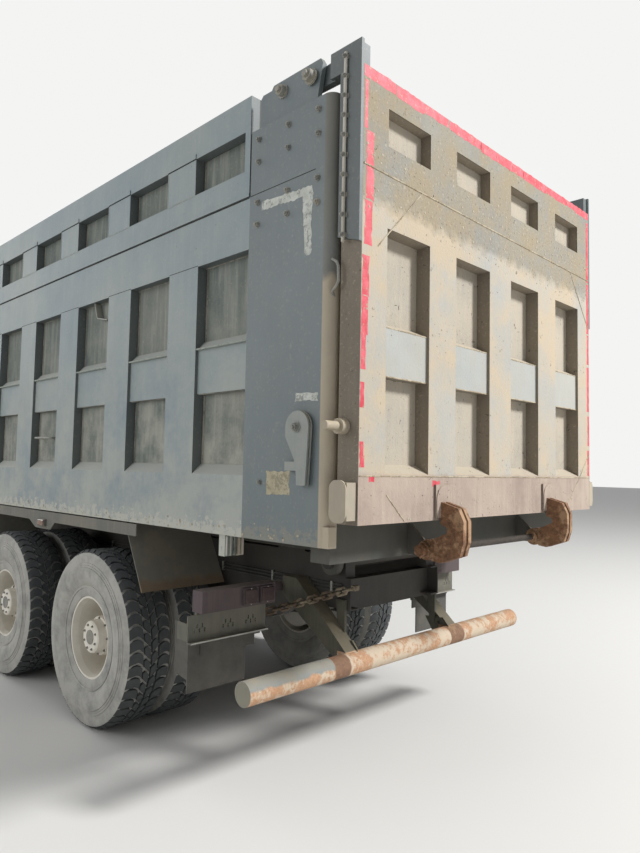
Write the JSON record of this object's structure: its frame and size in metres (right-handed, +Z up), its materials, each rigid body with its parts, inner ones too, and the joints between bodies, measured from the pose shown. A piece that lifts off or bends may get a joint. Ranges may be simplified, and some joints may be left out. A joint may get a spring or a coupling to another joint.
{
  "type": "dump truck",
  "caption": "Heavy four-axle dump truck with a high-sided ribbed steel bed, top-hinged tailgate, front hoist and cab over the engine.",
  "frame": {"origin": "on the ground under the middle of the overall box", "axes": "+X forward, +Y to the truck's left, +Z up"},
  "size_m": [10.48, 2.83, 3.5808],
  "materials": {
    "axle_iron": "dusty black",
    "bed_paint": "blue-grey paint, dusty and rust-stained",
    "box_plastic": "dusty",
    "bumper_paint": "blue-grey paint, dusty",
    "cab_paint": "blue-grey paint, dusty",
    "cab_pane": "clear",
    "dark_plastic": "grained",
    "engine_iron": "rough",
    "exhaust_steel": "heat-stained",
    "frame_paint": "black paint under dust",
    "gate_paint": "grey-green paint under tan dust",
    "hoist_paint": "dusty",
    "lamp_paint": "worn primer",
    "rod_chrome": "polished",
    "rusty_steel": "rusty",
    "seat_cloth": "woven",
    "spring_steel": "dusty black",
    "tank_aluminium": "dusty",
    "tyre_rubber": "matt, dusty",
    "wheel_paint": "dusty beige paint"
  },
  "bodies": {
    "chassis": {"frame": "frame_paint", "subframe": "frame_paint", "bumper": "bumper_paint", "engine": "engine_iron", "driveline": "engine_iron", "fuel_tank": "tank_aluminium", "battery_box": "box_plastic", "exhaust": "exhaust_steel", "front_axles": "axle_iron", "rear_axles": "axle_iron", "springs": "spring_steel", "mudguards": "frame_paint", "underrun_bar": "rusty_steel", "rear_lamps": "lamp_paint", "rear_chain": "rusty_steel"},
    "cab": {"cab_shell": "cab_paint", "cab_glass": "cab_pane", "cab_front": "dark_plastic", "mirrors": "dark_plastic", "dashboard": "dark_plastic", "seats": "seat_cloth"},
    "door_left": {"door_left": "cab_paint", "door_glass_left": "cab_pane"},
    "door_right": {"door_right": "cab_paint", "door_glass_right": "cab_pane"},
    "bed": {"bed_floor": "bed_paint", "bed_sides": "bed_paint", "top_rails": "bed_paint", "hinge_posts": "bed_paint", "head_board": "bed_paint", "side_latches": "bed_paint"},
    "tailgate": {"tailgate": "gate_paint", "gate_arms": "bed_paint"},
    "gate_hooks": {"gate_hooks": "rusty_steel"},
    "hoist_barrel": {"hoist_barrel": "hoist_paint"},
    "hoist_stage_1": {"hoist_stage_1": "rod_chrome"},
    "hoist_stage_2": {"hoist_stage_2": "rod_chrome"},
    "hoist_stage_3": {"hoist_stage_3": "rod_chrome"},
    "hoist_stage_4": {"hoist_stage_4": "rod_chrome"},
    "hoist_stage_5": {"hoist_stage_5": "rod_chrome"},
    "knuckle_1_left": {"knuckle_1_left": "axle_iron"},
    "front_wheel_1_left": {"front_tyre_1_left": "tyre_rubber", "front_wheel_1_left": "wheel_paint"},
    "knuckle_1_right": {"knuckle_1_right": "axle_iron"},
    "front_wheel_1_right": {"front_tyre_1_right": "tyre_rubber", "front_wheel_1_right": "wheel_paint"},
    "knuckle_2_left": {"knuckle_2_left": "axle_iron"},
    "front_wheel_2_left": {"front_tyre_2_left": "tyre_rubber", "front_wheel_2_left": "wheel_paint"},
    "knuckle_2_right": {"knuckle_2_right": "axle_iron"},
    "front_wheel_2_right": {"front_tyre_2_right": "tyre_rubber", "front_wheel_2_right": "wheel_paint"},
    "rear_wheels_1_left": {"rear_tyres_1_left": "tyre_rubber", "rear_wheel_1_left": "wheel_paint"},
    "rear_wheels_1_right": {"rear_tyres_1_right": "tyre_rubber", "rear_wheel_1_right": "wheel_paint"},
    "rear_wheels_2_left": {"rear_tyres_2_left": "tyre_rubber", "rear_wheel_2_left": "wheel_paint"},
    "rear_wheels_2_right": {"rear_tyres_2_right": "tyre_rubber", "rear_wheel_2_right": "wheel_paint"}
  },
  "joints": [
    {"name": "bed_tip", "type": "hinge", "parent": "chassis", "child": "bed", "pos_m": [-4.3, 0, 1.14], "axis": [0, -1, 0], "range_deg": [0, 45]},
    {"name": "tailgate_swing", "type": "hinge", "parent": "bed", "child": "tailgate", "pos_m": [-4.795, 0, 3.505], "axis": [0, 1, 0], "range_deg": [0, 60]},
    {"name": "hook_release", "type": "hinge", "parent": "bed", "child": "gate_hooks", "pos_m": [-5.03, 0, 1.29], "axis": [0, -1, 0], "range_deg": [0, 65]},
    {"name": "cab_tilt", "type": "hinge", "parent": "chassis", "child": "cab", "pos_m": [5.05, 0, 0.98], "axis": [0, 1, 0], "range_deg": [0, 50]},
    {"name": "door_left_swing", "type": "hinge", "parent": "cab", "child": "door_left", "pos_m": [4.767, 1.228, 1.7], "axis": [0, 0, -1], "range_deg": [0, 70]},
    {"name": "door_right_swing", "type": "hinge", "parent": "cab", "child": "door_right", "pos_m": [4.767, -1.228, 1.7], "axis": [0, 0, 1], "range_deg": [0, 70]},
    {"name": "steer_1_left", "type": "hinge", "parent": "chassis", "child": "knuckle_1_left", "pos_m": [3.75, 0.8, 0.56], "axis": [0, 0, 1], "range_deg": [-35, 35]},
    {"name": "spin_front_1_left", "type": "hinge", "parent": "knuckle_1_left", "child": "front_wheel_1_left", "pos_m": [3.75, 1.03, 0.56], "axis": [0, 1, 0], "continuous": true},
    {"name": "steer_1_right", "type": "hinge", "parent": "chassis", "child": "knuckle_1_right", "pos_m": [3.75, -0.8, 0.56], "axis": [0, 0, 1], "range_deg": [-35, 35]},
    {"name": "spin_front_1_right", "type": "hinge", "parent": "knuckle_1_right", "child": "front_wheel_1_right", "pos_m": [3.75, -1.03, 0.56], "axis": [0, 1, 0], "continuous": true},
    {"name": "steer_2_left", "type": "hinge", "parent": "chassis", "child": "knuckle_2_left", "pos_m": [1.9, 0.8, 0.56], "axis": [0, 0, 1], "range_deg": [-26.3, 26.3]},
    {"name": "spin_front_2_left", "type": "hinge", "parent": "knuckle_2_left", "child": "front_wheel_2_left", "pos_m": [1.9, 1.03, 0.56], "axis": [0, 1, 0], "continuous": true},
    {"name": "steer_2_right", "type": "hinge", "parent": "chassis", "child": "knuckle_2_right", "pos_m": [1.9, -0.8, 0.56], "axis": [0, 0, 1], "range_deg": [-26.3, 26.3]},
    {"name": "spin_front_2_right", "type": "hinge", "parent": "knuckle_2_right", "child": "front_wheel_2_right", "pos_m": [1.9, -1.03, 0.56], "axis": [0, 1, 0], "continuous": true},
    {"name": "spin_rear_1_left", "type": "hinge", "parent": "chassis", "child": "rear_wheels_1_left", "pos_m": [-2.845, 1, 0.56], "axis": [0, 1, 0], "continuous": true},
    {"name": "spin_rear_1_right", "type": "hinge", "parent": "chassis", "child": "rear_wheels_1_right", "pos_m": [-2.845, -1, 0.56], "axis": [0, 1, 0], "continuous": true},
    {"name": "spin_rear_2_left", "type": "hinge", "parent": "chassis", "child": "rear_wheels_2_left", "pos_m": [-1.395, 1, 0.56], "axis": [0, 1, 0], "continuous": true},
    {"name": "spin_rear_2_right", "type": "hinge", "parent": "chassis", "child": "rear_wheels_2_right", "pos_m": [-1.395, -1, 0.56], "axis": [0, 1, 0], "continuous": true},
    {"name": "hoist_swivel", "type": "hinge", "parent": "chassis", "child": "hoist_barrel", "pos_m": [2.83, 0, 0.85], "axis": [0, -1, 0], "range_deg": [0, 24.1]},
    {"name": "hoist_extend_1", "type": "slide", "parent": "hoist_barrel", "child": "hoist_stage_1", "axis": [-0.0357, 0, 0.9994], "range_m": [0, 1.084]},
    {"name": "hoist_extend_2", "type": "slide", "parent": "hoist_stage_1", "child": "hoist_stage_2", "axis": [-0.0357, 0, 0.9994], "range_m": [0, 1.084]},
    {"name": "hoist_extend_3", "type": "slide", "parent": "hoist_stage_2", "child": "hoist_stage_3", "axis": [-0.0357, 0, 0.9994], "range_m": [0, 1.084]},
    {"name": "hoist_extend_4", "type": "slide", "parent": "hoist_stage_3", "child": "hoist_stage_4", "axis": [-0.0357, 0, 0.9994], "range_m": [0, 1.084]},
    {"name": "hoist_extend_5", "type": "slide", "parent": "hoist_stage_4", "child": "hoist_stage_5", "axis": [-0.0357, 0, 0.9994], "range_m": [0, 1.084]}
  ],
  "couplings": [
    {"joint": "steer_1_right", "follows": "steer_1_left", "ratio": 1},
    {"joint": "steer_2_left", "follows": "steer_1_left", "ratio": 0.75},
    {"joint": "steer_2_right", "follows": "steer_1_left", "ratio": 0.75},
    {"joint": "hoist_swivel", "follows": "bed_tip", "ratio": 0.5249},
    {"joint": "hoist_extend_1", "follows": "bed_tip", "m_per_rad": 1.3738},
    {"joint": "hoist_extend_2", "follows": "bed_tip", "m_per_rad": 1.3738},
    {"joint": "hoist_extend_3", "follows": "bed_tip", "m_per_rad": 1.3738},
    {"joint": "hoist_extend_4", "follows": "bed_tip", "m_per_rad": 1.3738},
    {"joint": "hoist_extend_5", "follows": "bed_tip", "m_per_rad": 1.3738}
  ]
}
